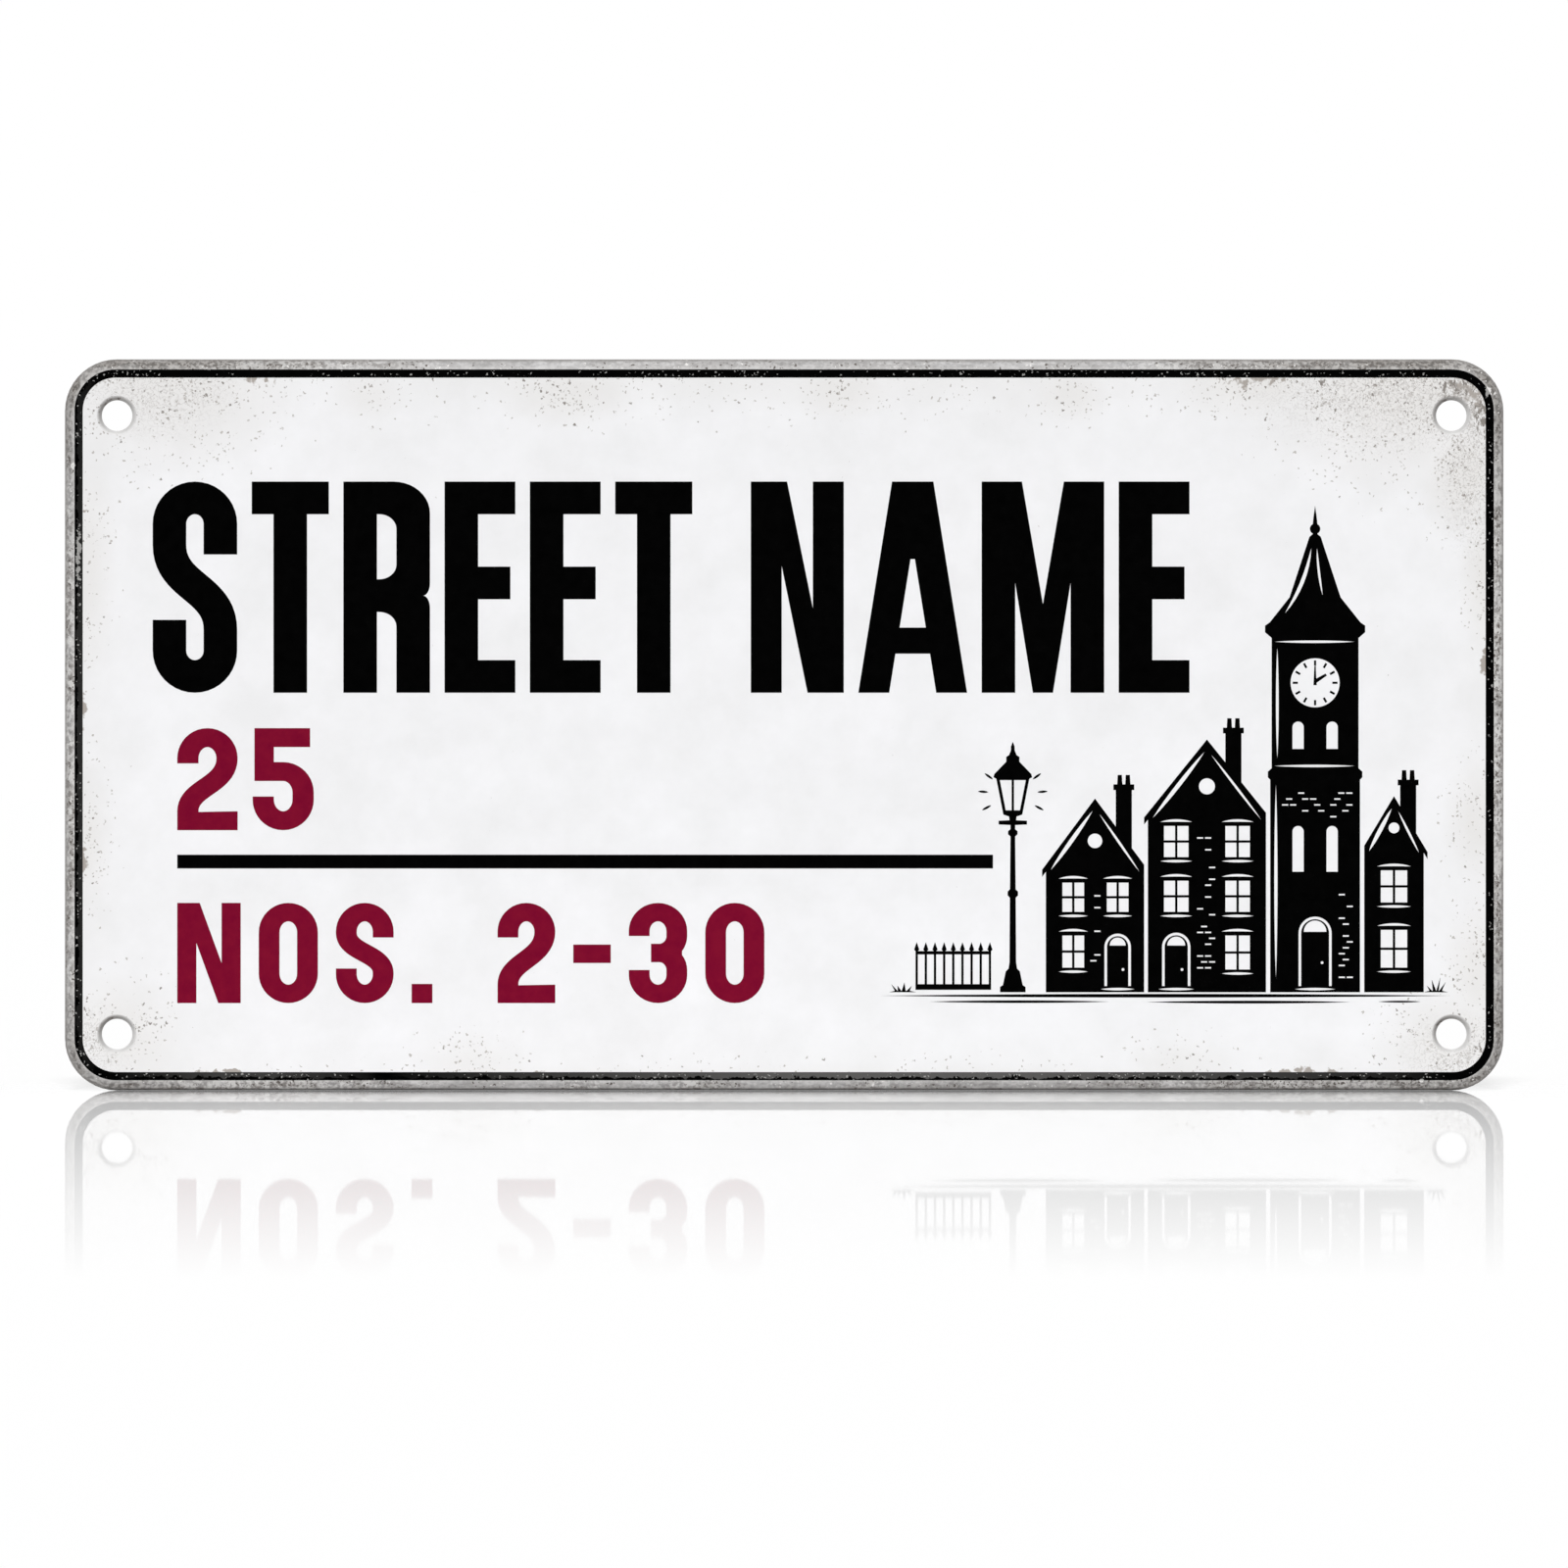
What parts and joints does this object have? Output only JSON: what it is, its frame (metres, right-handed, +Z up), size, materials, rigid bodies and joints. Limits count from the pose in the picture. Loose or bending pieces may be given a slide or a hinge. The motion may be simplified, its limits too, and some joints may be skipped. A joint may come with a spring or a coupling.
{
  "type": "street name sign",
  "caption": "Pressed tinplate street name sign with a rounded shoulder rim, a hemmed edge on the wall side and lipped fixing holes at its corners.",
  "frame": {"origin": "on the wall plane, behind the middle of the sign and of its hole pattern", "axes": "+X along the sign, to the right as it is read; +Y into the wall; +Z up"},
  "size_m": [0.305, 0.0045, 0.155],
  "materials": {
    "enamelled_tinplate": "satin white stoving enamel on tinplate, worn along the edges"
  },
  "bodies": {
    "root": {"sign_plate": "enamelled_tinplate"}
  },
  "joints": []
}
